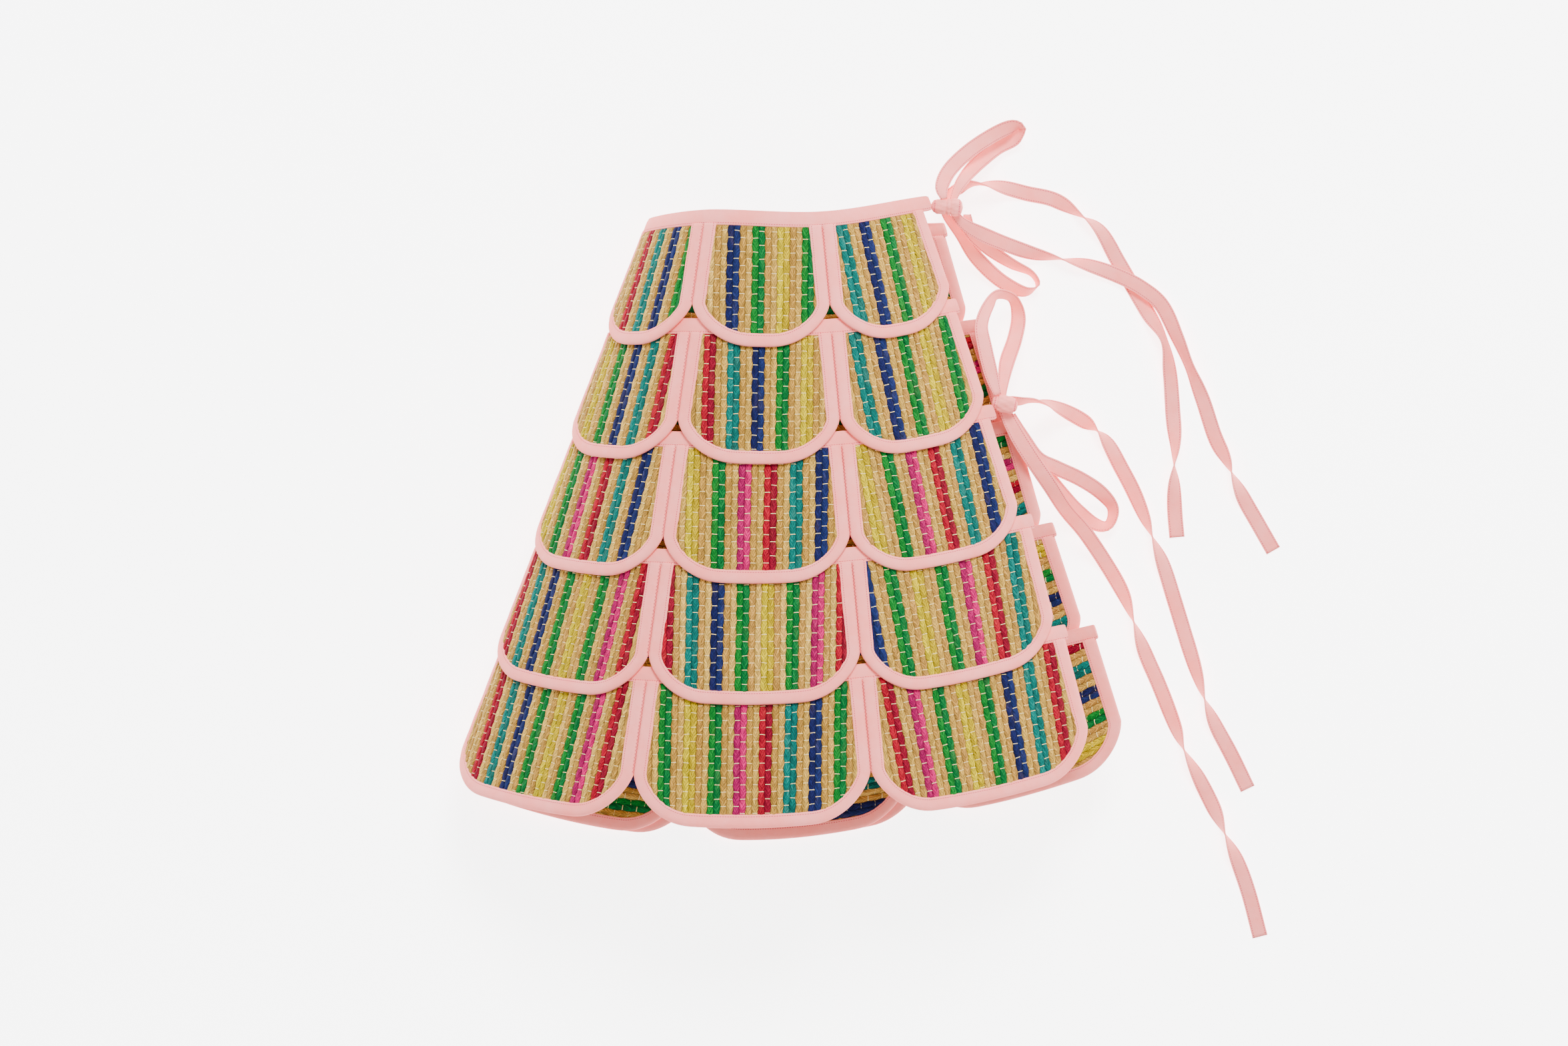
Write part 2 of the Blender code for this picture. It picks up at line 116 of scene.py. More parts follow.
TAPE_WIDTH = 15.0
TAPE_THICKNESS = 1.6

# The steps of the sheet's grid, over a tile's width and down the skirt.
SECTION_STEPS = 40
LENGTH_STEPS = 64

# The straw. A strand is one plait. Its stitches are staggered by half their pitch from its neighbours'.
STRAND = 5.9
STITCH_PITCH = 13.8
STITCH_WIDTH = 0.95
# How far a strand's side swings between its own stitches and its neighbour's.
ZIGZAG = 0.5
# How far a mat's edge lies inside the tile's, and how far mat and binding run up under the band.
MAT_INSET = 5.5
MAT_UNDER_BAND = 7.0
EDGE_UNDER_BAND = 2.0
# How far down a mat stays thin, to lie under the band.
BAND_CLEAR = 4.0
# The least height of a stitch above the mat's middle.
STITCH_LEAST = 1.0
# A strand's least and greatest height, how square its swell is, and how much and how far a stitch pinches it.
VALLEY = 0.6
PEAK = 2.2
SWELL_POWER = 2.6
PINCH = 0.26
PINCH_LENGTH = 1.5

# Colours. Each stripe is a pair of strands in two shades, the left one first.
PINK = (0.95, 0.270, 0.240)
PINK_THREAD = (0.60, 0.070, 0.10)
CREAM = (0.90, 0.70, 0.31)
TANS = ((0.40, 0.230, 0.040), (0.33, 0.172, 0.028), (0.47, 0.280, 0.056), (0.35, 0.180, 0.034))
SHADES = {
    "navy": ((0.006, 0.008, 0.050), (0.008, 0.014, 0.068)),
    "teal": ((0.001, 0.112, 0.094), (0.001, 0.085, 0.072)),
    "green": ((0.001, 0.120, 0.014), (0.001, 0.095, 0.020)),
    "yellow": ((0.430, 0.320, 0.0), (0.360, 0.250, 0.0)),
    "red": ((0.270, 0.002, 0.014), (0.170, 0.002, 0.015)),
    "magenta": ((0.240, 0.003, 0.060), (0.420, 0.004, 0.092)),
}
SHORT_ROW = "yellow green magenta red teal navy"
LONG_ROW = "red teal navy green yellow green magenta red"
# The stripes that run down each tile's outer face, left to right as the front is seen, with how far the row
# stands to the right of the tile's middle. Columns: tile, tier, shift, strands' width beside STRAND, colours.
STRIPES = (
    (2, 0, 13.0, 0.95, "red teal navy green"),
    (1, 0, 8.5, 1.0, "navy green yellow green"),
    (0, 0, -1.0, 1.04, "teal navy green yellow"),
    (2, 1, 6.0, 0.95, "yellow green navy teal red"),
    (1, 1, -1.5, 0.98, "red teal navy green yellow"),
    (0, 1, 3.0, 1.04, "teal navy green yellow green"),
    (2, 2, -8.0, 0.96, SHORT_ROW),
    (1, 2, 0.0, 1.03, SHORT_ROW),
    (0, 2, 0.0, 1.04, SHORT_ROW),
    (2, 3, 0.0, 0.90, LONG_ROW),
    (1, 3, 0.0, 1.0, LONG_ROW),
    (0, 3, -7.0, 1.07, "navy green yellow green magenta red teal"),
    (2, 4, 4.0, 0.90, LONG_ROW),
    (1, 4, 0.0, 1.0, "green yellow green magenta red teal navy green"),
    (0, 4, 2.0, 1.01, "red magenta green yellow green navy teal red"),
)
# The stripes that run round on each tier's inner faces, from the waist down.
ROUND_STRIPES = (
    "teal navy green yellow",
    "red magenta green teal",
    "green magenta red teal",
    "yellow green navy teal",
    "red teal navy green yellow",
)
# How that row differs, by tile and tier: its shift down, and its strands' width beside STRAND.
ROUND_CHANGES = {
    (5, 1): (-2.0, 1.15),
    (5, 2): (-8.0, 1.08),
    (5, 3): (2.0, 1.15),
    (5, 4): (4.0, 1.15),
    (3, 4): (22.9, 1.0),
    (4, 4): (52.9, 1.0),
}
# The slope of the strands that run round, by tile.
ROUND_SLOPES = {5: -0.17}
UNDER_STRIPES = "navy green teal red yellow green navy"


def catmull_rom(points, steps):
    """Points of a smooth curve through the given ones, `steps` to each span."""
    padded = np.vstack([2 * points[0] - points[1], points, 2 * points[-1] - points[-2]])
    t = (np.arange(steps) / steps)[:, None]
    curve = []
    for p0, p1, p2, p3 in zip(padded, padded[1:], padded[2:], padded[3:]):
        curve.extend(0.5 * (2 * p1 + (p2 - p0) * t + (2 * p0 - 5 * p1 + 4 * p2 - p3) * t**2
                            + (3 * p1 - p0 - 3 * p2 + p3) * t**3))
    return np.array([*curve, padded[-2]])


def distances(points):
    """How far each point lies from the first, along the row of points."""
    return np.concatenate([[0.0], np.cumsum(np.linalg.norm(np.diff(points, axis=0), axis=1))])


def evenly(rows, count):
    """The rows spaced evenly in space over `count` steps, and how far along each lies."""
    along = distances(rows[:, :3])
    even = np.linspace(0.0, along[-1], count + 1)
    return np.array([np.interp(even, along, column) for column in rows.T]).T, even


def rest_height(length):
    """The back's least height, so that its tiles' lower edges, or the under row, meet the floor."""
    past = max(0.0, (length - UNDER_TOP) / (LENGTH - UNDER_TOP))
    return LAP_RISE + BINDING_HALF - FLATTENED + HEM_RAISE * past


def section(length):
    """The tube's cross-section at a distance from the waist, as points spaced evenly within each tile."""
    seams = np.array([row[1:] for row in SEAMS])
    f = length / LENGTH
    curve = catmull_rom(seams[:, :3] * (1 - f) + seams[:, 3:] * f, SECTION_STEPS)
    curve[:, 2] = np.maximum(curve[:, 2], rest_height(length))
    rows = []
    widths = []
    for tile in range(len(COLUMNS)):
        part, even = evenly(curve[tile * SECTION_STEPS : (tile + 1) * SECTION_STEPS + 1], SECTION_STEPS)
        rows.extend(part[:-1])
        widths.append(even[-1])
    return np.array([*rows, curve[-1]]), np.array(widths)


def make_sheet():
    """The skirt's neutral surface: its points, outward normals and tile widths on an even grid."""
    lengths = np.linspace(0.0, LENGTH + 2 * BAND_WIDTH, LENGTH_STEPS + 1)
    made = [section(length) for length in lengths]
    points = np.array([rows for rows, _ in made])
    widths = np.array([row for _, row in made])
    normals = np.cross(np.gradient(points, axis=1), np.gradient(points, axis=0))
    normals /= np.linalg.norm(normals, axis=2, keepdims=True)
    return lengths, points, normals, widths


LENGTHS, POINTS, NORMALS, WIDTHS = make_sheet()

# The knots, in the tables' own frame. Columns: x, y, z, length, width, height, direction in degrees.
KNOTS = {
    "waist_knot": (157.0, 304.5, 69.0, 31.0, 17.0, 14.0, -4.0),
    "side_knot": (212.0, 114.0, 90.0, 25.0, 16.0, 13.0, -12.0),
}


def frame_shift():
    """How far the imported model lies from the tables' own frame, whose origin is below the camera."""
    low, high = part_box("waist_knot")
    shift = [round((low[k] + high[k]) / 2 / MM - KNOTS["waist_knot"][k], 2) for k in range(2)]
    return np.array([*shift, 0.0])


SHIFT = frame_shift()


def tile_width(tile, length):
    return np.interp(length, LENGTHS, WIDTHS[:, tile])


def on_sheet(tile, across, length, out):
    """Points `across` mm from a tile's centre line, `length` mm from the waist and `out` mm outwards."""
    across, length, out = np.broadcast_arrays(*(np.asarray(v, dtype=float) for v in (across, length, out)))
    u = (tile + 0.5 + across / tile_width(tile, length)) * SECTION_STEPS
    v = length / LENGTHS[-1] * LENGTH_STEPS
    i = np.clip(np.floor(u).astype(int), 0, POINTS.shape[1] - 2)
    j = np.clip(np.floor(v).astype(int), 0, LENGTH_STEPS - 1)
    du = (u - i)[..., None]
    dv = (v - j)[..., None]

    def blend(grid, a):
        upper = grid[j, i] * (1 - a) + grid[j, i + 1] * a
        lower = grid[j + 1, i] * (1 - a) + grid[j + 1, i + 1] * a
        return upper * (1 - dv) + lower * dv

    normal = blend(NORMALS, np.clip(du, 0.0, 1.0))
    normal /= np.linalg.norm(normal, axis=-1, keepdims=True)
    points = blend(POINTS, du) + normal * out[..., None]
    points[..., 2] = np.maximum(points[..., 2], 0.0)
    return points


def on_tier(tile, tier, across, length, out):
    """Points of a tier, which stands out further down, and whose free edges step out or in."""
    top, bottom, _ = TIERS[tier]
    share = (length - top) / (bottom - top)
    if tile in (FRONT_END, BACK_END):
        way = -1 if tile == FRONT_END else 1
        at_band, at_foot = FREE_STEPS[tier][:2] if tile == FRONT_END else FREE_STEPS[tier][2:]
        step = at_band + (at_foot - at_band) * share
        across = across + way * step * (0.5 + way * across / tile_width(tile, length))
    return on_sheet(tile, across, length, LAP_RISE * share + out)


def smooth(x):
    x = np.clip(x, 0.0, 1.0)
    return x * x * (3 - 2 * x)


def ripple(x, y, seed):
    """A slow, even unevenness between -1 and 1."""
    return (np.sin(x + 1.7 * seed) * np.sin(0.73 * y + 2.3 * seed)
            + 0.5 * np.sin(1.9 * x - 1.3 * y + 0.9 * seed)) / 1.5


# The distance, in metres, within which a welded piece's points are made one.
WELD = 1e-6


def new_piece(name, points, faces, material, uv=None, paint=None, closed=True, weld=False):
    """A smooth-shaded piece on the root body, from points in mm. uv is per point and paint per face."""
    mesh = bpy.data.meshes.new(name)
    mesh.from_pydata((np.asarray(points) + SHIFT) * MM, [], [list(map(int, f)) for f in faces])
    if uv is not None:
        corners = [int(v) for f in faces for v in f]
        layer = mesh.uv_layers.new(name="thread")
        layer.data.foreach_set("uv", np.asarray(uv, dtype=np.float32)[corners].ravel())
    if paint is not None:
        colours = np.column_stack([paint, np.ones(len(faces))])
        colours = np.repeat(colours, [len(f) for f in faces], axis=0)
        layer = mesh.color_attributes.new("strand", "FLOAT_COLOR", "CORNER")
        layer.data.foreach_set("color", colours.astype(np.float32).ravel())
    mesh.materials.append(material)
    mesh.polygons.foreach_set("use_smooth", np.ones(len(faces), dtype=bool))
    if closed:
        bm = bmesh.new()
        bm.from_mesh(mesh)
        if weld:
            bmesh.ops.remove_doubles(bm, verts=bm.verts, dist=WELD)
        bmesh.ops.recalc_face_normals(bm, faces=bm.faces)
        bm.to_mesh(mesh)
        bm.free()
    mesh.update()
    piece = bpy.data.objects.new(name, mesh)
    bpy.context.scene.collection.objects.link(piece)
    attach(piece, "root")
    return piece


def grid_faces(rows, columns, wrap=False):
    """Quads over a grid of rows by columns, joined across its columns when wrapped."""
    index = np.arange(rows * columns).reshape(rows, columns)
    if wrap:
        index = np.column_stack([index, index[:, 0]])
    corners = (index[:-1, :-1], index[:-1, 1:], index[1:, 1:], index[1:, :-1])
    return np.stack(corners, axis=-1).reshape(-1, 4).tolist()


def copied_faces(faces, size, count):
    """The faces of `count` equal patches, whose points follow each other, `size` to a patch."""
    return [tuple(v + size * k for v in f) for k in range(count) for f in faces]


def strand_grid(lines, stations, low, high):
    """A grid of lines by stations along them, cut where each line starts and ends: each point's line and
    place along it, the faces, the line each starts from, and the outline's points in order."""
    place = np.clip(stations[None, :], low[:, None], high[:, None])
    near = 0.3 * np.median(np.diff(stations))
    for end in (low[:, None], high[:, None]):
        place = np.where(np.abs(place - end) < near, end, place)
    keys = np.round(place * 1000).astype(np.int64) + np.arange(len(lines))[:, None] * 10**8
    _, first, index = np.unique(keys.ravel(), return_index=True, return_inverse=True)
    index = index.reshape(place.shape)
    faces = []
    starts = []
    for k in range(len(lines) - 1):
        for corners in zip(index[k, :-1], index[k, 1:], index[k + 1, 1:], index[k + 1, :-1]):
            kept = [c for n, c in enumerate(corners) if c != corners[n - 1]]
            if len(kept) > 2:
                faces.append(kept)
                starts.append(k)
    edge = [*index[0, :], *index[1:, -1], *index[-1, -2::-1], *index[-2:0:-1, 0]]
    edge = [v for n, v in enumerate(edge) if v != edge[n - 1]]
    return first // len(stations), place.ravel()[first], faces, np.array(starts), edge


def joined_outlines(edges, angles):
    """Triangles between two closed outlines, paired by each point's angle about the middle."""
    orders = [np.argsort(angle) for angle in angles]
    a, b = ([edge[k] for k in order] for edge, order in zip(edges, orders))
    angle_a, angle_b = ([*angle[order], angle.min() + TAU] for angle, order in zip(angles, orders))
    faces = []
    i = j = 0
    while i < len(a) or j < len(b):
        if j == len(b) or (i < len(a) and angle_a[i + 1] <= angle_b[j + 1]):
            faces.append((a[i % len(a)], a[(i + 1) % len(a)], b[j % len(b)]))
            i += 1
        else:
            faces.append((a[i % len(a)], b[(j + 1) % len(b)], b[j % len(b)]))
            j += 1
    return faces


@dataclass
class Panel:
    """One bound straw tile: where it lies on its tier, how wide it is and how far it stands out."""

    tile: int
    tier: int
    start: float
    bottom: float
    shift: float = 0.0
    stand: float = 0.0

    def __post_init__(self):
        self.depth = TIERS[self.tier][2]
        self.corner = self.bottom - self.depth

    def point(self, across, length, out):
        return on_tier(self.tile, self.tier, across + self.shift, length, out + self.stand)

    def side(self, length):
        """Half the width at a length, without the rounded corners."""
        return tile_width(self.tile, np.minimum(length, self.corner)) / 2 - SEAM_GAP / 2

    def half(self, length, inset):
        """Half the width at a length, `inset` mm inside the edge, with the rounded lower corners."""
        down = np.clip((length - self.corner) / (self.depth - inset), 0.0, 1.0)
        over = (1 - down**FOOT_POWER) ** (1 / SIDE_POWER)
        return self.side(length) - CORNER_WIDTH + (CORNER_WIDTH - inset) * over

    def end(self, across, inset):
        """The length at which the tile ends on a line `across` mm from its middle."""
        half = self.side(self.corner)
        over = np.clip((np.abs(across) - (half - CORNER_WIDTH)) / (CORNER_WIDTH - inset), 0.0, 1.0)
        down = (1 - over**SIDE_POWER) ** (1 / FOOT_POWER)
        return self.corner + (self.depth - inset - BELLY * (across / half) ** 2) * down

    def begin(self, across, inset):
        """Where a line starts: under the band, or lower where the slanted side cuts it."""
        lengths = np.linspace(self.start, self.corner, 12)
        return np.interp(np.abs(across), self.half(lengths, inset), lengths)


def strand_tones(count_from, count_to, stripes, seed, mirrored):
    """The colour of each strand by its number, tan between the stripes."""
    names = stripes.split()
    tones = {}
    for m in range(count_from, count_to):
        k = (m + 0.5) / 4 + (len(names) - 1) / 2
        nearest = int(round(k))
        if 0 <= nearest < len(names) and abs(k - nearest) < 0.25:
            tones[m] = SHADES[names[nearest]][int((k > nearest) != mirrored)]
        else:
            tones[m] = TANS[(m * 5 + seed) % len(TANS)]
    return tones


def strand_height(u, along):
    """How far a strand's face stands above the mat's middle, from its place across and along it."""
    number = np.floor(u + 1e-6)
    t = 2 * (u - number) - 1
    t = np.where(np.abs(u - np.round(u)) < 1e-6, 1.0, t)
    swell = np.sqrt(np.clip(1 - np.abs(t) ** SWELL_POWER, 0.0, 1.0))
    phase = along / STITCH_PITCH + 0.5 * (number % 2)
    apart = np.abs(phase - np.round(phase)) * STITCH_PITCH
    pinch = 1 - PINCH * np.exp(-((apart / PINCH_LENGTH) ** 2))
    uneven = 1 + 0.09 * ripple(along / 7, number * 1.9, 3)
    return VALLEY + (PEAK - VALLEY) * swell * pinch * uneven


# In how many places a strand that runs round is tested against the outline.
SPAN_PLACES = 600
# A line's least distance from a mat's side, and a strand's least length.
LINE_ROOM = 0.4
LEAST_SPAN = 1.0
# Added to a strand's number, so that no texture coordinate is negative.
FIRST_NUMBER = 64


@dataclass
class Face:
    """One face of a mat: its side, its strands' direction, place, width and slope, and their colours."""

    panel: Panel
    side: int
    down: bool
    shift: float
    share: float
    stripes: str
    fractions: tuple
    step: float
    seed: int
    slope: float = 0.0

    def __post_init__(self):
        self.strand = STRAND * self.share
        self.origin = self.shift if self.down else (self.panel.start + self.panel.bottom) / 2 + self.shift

    def swing(self, line, along):
        """How far the staggered stitches pull a strand's sides to and fro."""
        u = (line - self.origin) / self.strand
        number = np.floor(u + 1e-6)
        phase = along / STITCH_PITCH + 0.5 * ((number - 1) % 2)
        return -ZIGZAG * np.cos(TAU * phase) * (1 - 2 * (u - number))

    def where(self, line, along):
        """Across and length on the tile of a point at a line and a place along it."""
        wander = 0.35 * ripple(along / 23, line / 9, self.seed) + self.swing(line, along)
        if self.down:
            return line + wander, along
        return along, self.round_length(line, along) + wander

    def round_length(self, line, across):
        """The length at which a strand that runs round lies, bowed like the tile's foot."""
        panel = self.panel
        share = (line - panel.start) / (panel.bottom - panel.start)
        return line - BELLY * (across / panel.side(panel.corner)) ** 2 * share + self.slope * across

    def spans(self, lines, inset):
        """Where each line runs inside the tile's outline, from and to; a line outside it has no room."""
        panel = self.panel
        if self.down:
            return panel.begin(lines, inset), panel.end(lines, inset)
        widest = float(panel.half(panel.corner, inset))
        places = np.linspace(-widest, widest, SPAN_PLACES)[None, :]
        length = self.round_length(lines[:, None], places)
        inside = (length >= panel.start) & (length <= panel.end(places, inset) + 0.2)
        inside &= np.abs(places) <= panel.half(np.clip(length, panel.start, panel.bottom - inset), inset)
        places = np.broadcast_to(places, inside.shape)
        return np.where(inside, places, np.inf).min(axis=1), np.where(inside, places, -np.inf).max(axis=1)

    def relief(self, u, along, across, length):
        """The face's height above the mat's middle, thinning out under the binding and the band."""
        panel = self.panel
        inside = np.minimum(panel.half(length, MAT_INSET) - np.abs(across), length - panel.start - BAND_CLEAR)
        inside = np.minimum(inside, panel.end(across, MAT_INSET) - length)
        thin = 0.25 + 0.75 * smooth(inside / (BINDING_WIDTH - MAT_INSET))
        return strand_height(u, along) * thin

    def build(self):
        """The face's points, faces, texture coordinates and colours, and its outline with its angles."""
        panel = self.panel
        widest = float(panel.half(panel.corner, MAT_INSET))
        if self.down:
            ends = (1.0 - widest, widest - 1.0)
        else:
            reach = abs(self.slope) * widest
            ends = (panel.start - reach, panel.bottom - MAT_INSET + reach)
        first = math.floor((ends[0] - self.origin) / self.strand)
        last = math.ceil((ends[1] - self.origin) / self.strand)
        lines = [self.origin + (m + f) * self.strand for m in range(first, last + 1) for f in self.fractions]
        lines = [v for v in lines if ends[0] + LINE_ROOM < v < ends[1] - LINE_ROOM]
        lines = np.array([ends[0], *lines, ends[1]])
        low, high = self.spans(lines, MAT_INSET)
        if self.down:
            high = np.maximum(high, low + 2.0)
        else:
            kept = high - low > LEAST_SPAN
            lines, low, high = lines[kept], low[kept], high[kept]
        stations = np.arange(round(low.min() / self.step), math.ceil(high.max() / self.step) + 1) * self.step
        line_of, along, faces, starts, edge = strand_grid(lines, stations, low, high)
        line = lines[line_of]
        u = (line - self.origin) / self.strand
        across, length = self.where(line, along)
        out = self.side * self.relief(u, along, across, length)
        points = panel.point(across, length, out)
        uv = np.column_stack([u + FIRST_NUMBER, along / STITCH_PITCH])
        tones = strand_tones(first - 1, last + 1, self.stripes, self.seed, self.down)
        middles = (lines[:-1] + lines[1:]) / 2
        numbers = np.floor((middles - self.origin) / self.strand).astype(int)
        paint = np.array([tones[m] for m in numbers])[starts]
        middle = (panel.start + panel.bottom) / 2
        angles = np.arctan2(length[edge] - middle, across[edge])
        return points, faces, uv, paint, edge, angles

    def stitches(self, inset):
        """Small thread bars across each strand, as open arched strips."""
        panel = self.panel
        if self.down:
            widest = float(panel.half(panel.corner, inset))
            span = (-widest, widest)
        else:
            span = (panel.start + inset, panel.bottom - inset)
        first = math.ceil((span[0] - self.origin) / self.strand)
        last = math.floor((span[1] - self.origin) / self.strand)
        numbers = np.arange(first, last)
        lows, highs = self.spans(self.origin + (numbers + 0.5) * self.strand, inset)
        if self.down:
            lows = np.maximum(lows, panel.start + BAND_CLEAR + 3.0)
        rows = []
        for m, low, high in zip(numbers, lows, highs):
            if high > low:
                turns = range(math.ceil(low / STITCH_PITCH) - 1, math.floor(high / STITCH_PITCH) + 1)
                places = [(n + 0.5 * (m % 2)) * STITCH_PITCH for n in turns]
                rows += [(m, along) for along in places if low < along < high]
        if not rows:
            return None
        number, along = np.array(rows).T[:, :, None, None]
        t = np.array([0.02, 0.22, 0.78, 0.98])[None, :, None] * np.ones((1, 1, 3))
        lean = 0.9 * ripple(number * 1.3, along / 7, self.seed)
        width = np.array([-0.5, 0.0, 0.5])[None, None, :] * STITCH_WIDTH
        u = number + t
        reach = along + width + lean * (t - 0.5)
        line = self.origin + u * self.strand
        across, length = self.where(line, reach)
        rise = np.array([-0.1, 0.5, -0.1])[None, None, :]
        height = np.maximum(self.relief(u, along, across, length), STITCH_LEAST)
        points = panel.point(across, length, self.side * (height + rise)).reshape(-1, 3)
        return points, copied_faces(grid_faces(4, 3), 4 * 3, len(rows))


# The share of a corner's box that its rounded curve cuts off.
CORNER_SHARE = 0.24


def trapezium(panel):
    """A mat's flat cut: its greatest width, its length and its area, in metres."""
    width = 2 * float(panel.half(panel.corner, MAT_INSET))
    top = 2 * float(panel.half(panel.start, MAT_INSET))
    length = panel.bottom - MAT_INSET - panel.start
    cut_off = 2 * CORNER_SHARE * (CORNER_WIDTH - MAT_INSET) * (panel.depth - MAT_INSET)
    area = (width + top) / 2 * length - cut_off
    return (width * MM, length * MM), area * MM * MM


def straw_mat(name, node, outer, inner, slot):
    """A closed mat from its two faces, and the stitches on both."""
    points, faces, uv, paint, edges, angles = zip(outer.build(), inner.build())
    offset = len(points[0])
    rim = joined_outlines((edges[0], [v + offset for v in edges[1]]), angles)
    faces = faces[0] + [[v + offset for v in f] for f in faces[1]] + rim
    paint = np.vstack([*paint, np.tile(TANS[0], (len(rim), 1))])
    mat = new_piece(name, np.vstack(points), faces, STRAW, np.vstack(uv), paint)
    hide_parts(node)
    points = []
    faces = []
    for face in (outer, inner):
        made = face.stitches(BINDING_WIDTH + 1)
        if made:
            faces += [tuple(v + len(points) for v in f) for f in made[1]]
            points += list(made[0])
    thread = new_piece(name + "_stitches", points, faces, CREAM_THREAD, closed=False)
    return mat, thread


def both_sides(outside):
    """A section's whole outline, from its points on the outside. Columns: place across, distance out."""
    return np.array([*outside, *((place, -out) for place, out in reversed(outside))])


def ring_uv(share, along):
    """Texture coordinates for rings of points: the share of the width, and the length run in metres."""
    return np.stack(np.broadcast_arrays(share, along[:, None] * MM), axis=-1).reshape(-1, 2)


# The ring of a folded binding, from its inner edge on the outside to the tile's edge.
# Columns: share of the width from the tile's edge, distance out from the mat's middle.
BINDING_RING = both_sides((
    (1.0, 1.0), (0.985, 2.0), (0.93, 2.35), (0.80, 2.42), (0.55, 2.75), (0.28, 2.6), (0.08, 1.8), (0.0, 0.6),
))
# The steps along a binding, on the front and elsewhere.
FRONT_EDGE_STEP = 3.2
PLAIN_EDGE_STEP = 4.5


def binding_track(panel, step):
    """The binding's outer and inner edges, up one side, round the corners and down the other."""
    corner = panel.corner
    half = float(panel.side(corner))
    flat = half - CORNER_WIDTH
    lengths = np.linspace(panel.start, corner, max(4, round((corner - panel.start) / step)) + 1)[:-1]
    angles = np.linspace(0.0, math.pi / 2, max(8, round(CORNER_WIDTH * 1.4 / step)) + 1)
    edges = []
    for inset in (0.0, BINDING_WIDTH):
        edge = [(float(panel.side(length)) - inset, length) for length in lengths]
        for angle in angles:
            across = flat + (CORNER_WIDTH - inset) * math.cos(angle) ** (2 / SIDE_POWER)
            down = math.sin(angle) ** (2 / FOOT_POWER)
            edge.append((across, corner + (panel.depth - inset - BELLY * (across / half) ** 2) * down))
        for across in np.linspace(flat, 0.0, max(4, round(flat / step)) + 1)[1:]:
            edge.append((across, panel.bottom - inset - BELLY * (across / half) ** 2))
        edges.append(np.array(edge + [(-a, b) for a, b in edge[-2::-1]]))
    return edges


def bound_edge(name, node, panel, step, seed):
    """The folded binding of a tile, softly padded and puckered between its stitches."""
    outer, inner = binding_track(panel, step)
    along = distances((outer + inner) / 2)
    share = BINDING_RING[None, :, 0]
    out = BINDING_RING[None, :, 1] * (1 + 0.06 * ripple(along[:, None] / 5.5, share * 4, seed))
    out = out * (1 + 0.05 * ripple(along[:, None] / 17, share, seed + 2))
    wave = 0.012 * ripple(along[:, None] / 19, share * 2, seed + 1)
    place = outer[:, None, :] + (inner - outer)[:, None, :] * (share + wave * (share > 0.5))[..., None]
    points = panel.point(place[..., 0], place[..., 1], out)
    rows, columns = points.shape[:2]
    faces = grid_faces(rows, columns, wrap=True)
    faces += [tuple(range(columns)), tuple((rows - 1) * columns + k for k in reversed(range(columns)))]
    piece = new_piece(name, points.reshape(-1, 3), faces, BINDING_CLOTH, ring_uv(share, along))
    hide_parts(node)
    return piece


class Shader:
    """A Principled material under construction, with short ways to add and join its nodes."""

    def __init__(self, name, roughness, specular):
        self.material = bpy.data.materials.new(name)
        self.material.use_nodes = True
        self.tree = self.material.node_tree
        self.surface = self.tree.nodes["Principled BSDF"]
        self.surface.inputs["Roughness"].default_value = roughness
        self.surface.inputs["Specular IOR Level"].default_value = specular

    def wire(self, source, socket):
        """Sets a socket from another node's output, a number or a colour."""
        if isinstance(source, bpy.types.NodeSocket):
            self.tree.links.new(source, socket)
        else:
            socket.default_value = (*source, 1.0) if isinstance(source, tuple) else source

    def node(self, kind, inputs, output=0, **settings):
        """One output of a new node, whose inputs are wired by number or name."""
        made = self.tree.nodes.new("ShaderNode" + kind)
        for name, value in settings.items():
            setattr(made, name, value)
        for key, value in inputs.items() if isinstance(inputs, dict) else enumerate(inputs):
            self.wire(value, made.inputs[key])
        return made.outputs[output]

    def math(self, operation, *values):
        return self.node("Math", values, operation=operation)

    def mix(self, factor, first, second, blend="MIX"):
        return self.node("Mix", {0: factor, 6: first, 7: second}, 2, data_type="RGBA", blend_type=blend)

    def ramp(self, value, low, high, to_low=0.0, to_high=1.0):
        return self.node("MapRange", (value, low, high, to_low, to_high), interpolation_type="SMOOTHSTEP")

    def noise(self, vector, scale, detail=2.0):
        return self.node("TexNoise", {"Vector": vector, "Scale": scale, "Detail": detail})

    def vector(self, x, y, z=0.0):
        return self.node("CombineXYZ", (x, y, z))

    def bump(self, height, distance, strength, **before):
        return self.node("Bump", {"Strength": strength, "Distance": distance, "Height": height, **before})

    def thread_uv(self):
        place = self.node("UVMap", (), uv_map="thread")
        return [self.node("SeparateXYZ", (place,), k) for k in range(2)]

    def finish(self, colour, normal=None):
        self.wire(colour, self.surface.inputs["Base Color"])
        if normal is not None:
            self.wire(normal, self.surface.inputs["Normal"])
        return self.material


# A straw's length along the strand, its lean from the strand's middle, and the colour dyed straw fades to.
STRAW_LENGTH = 4.2
STRAW_LEAN = 11.0
FADED = (0.42, 0.26, 0.07)


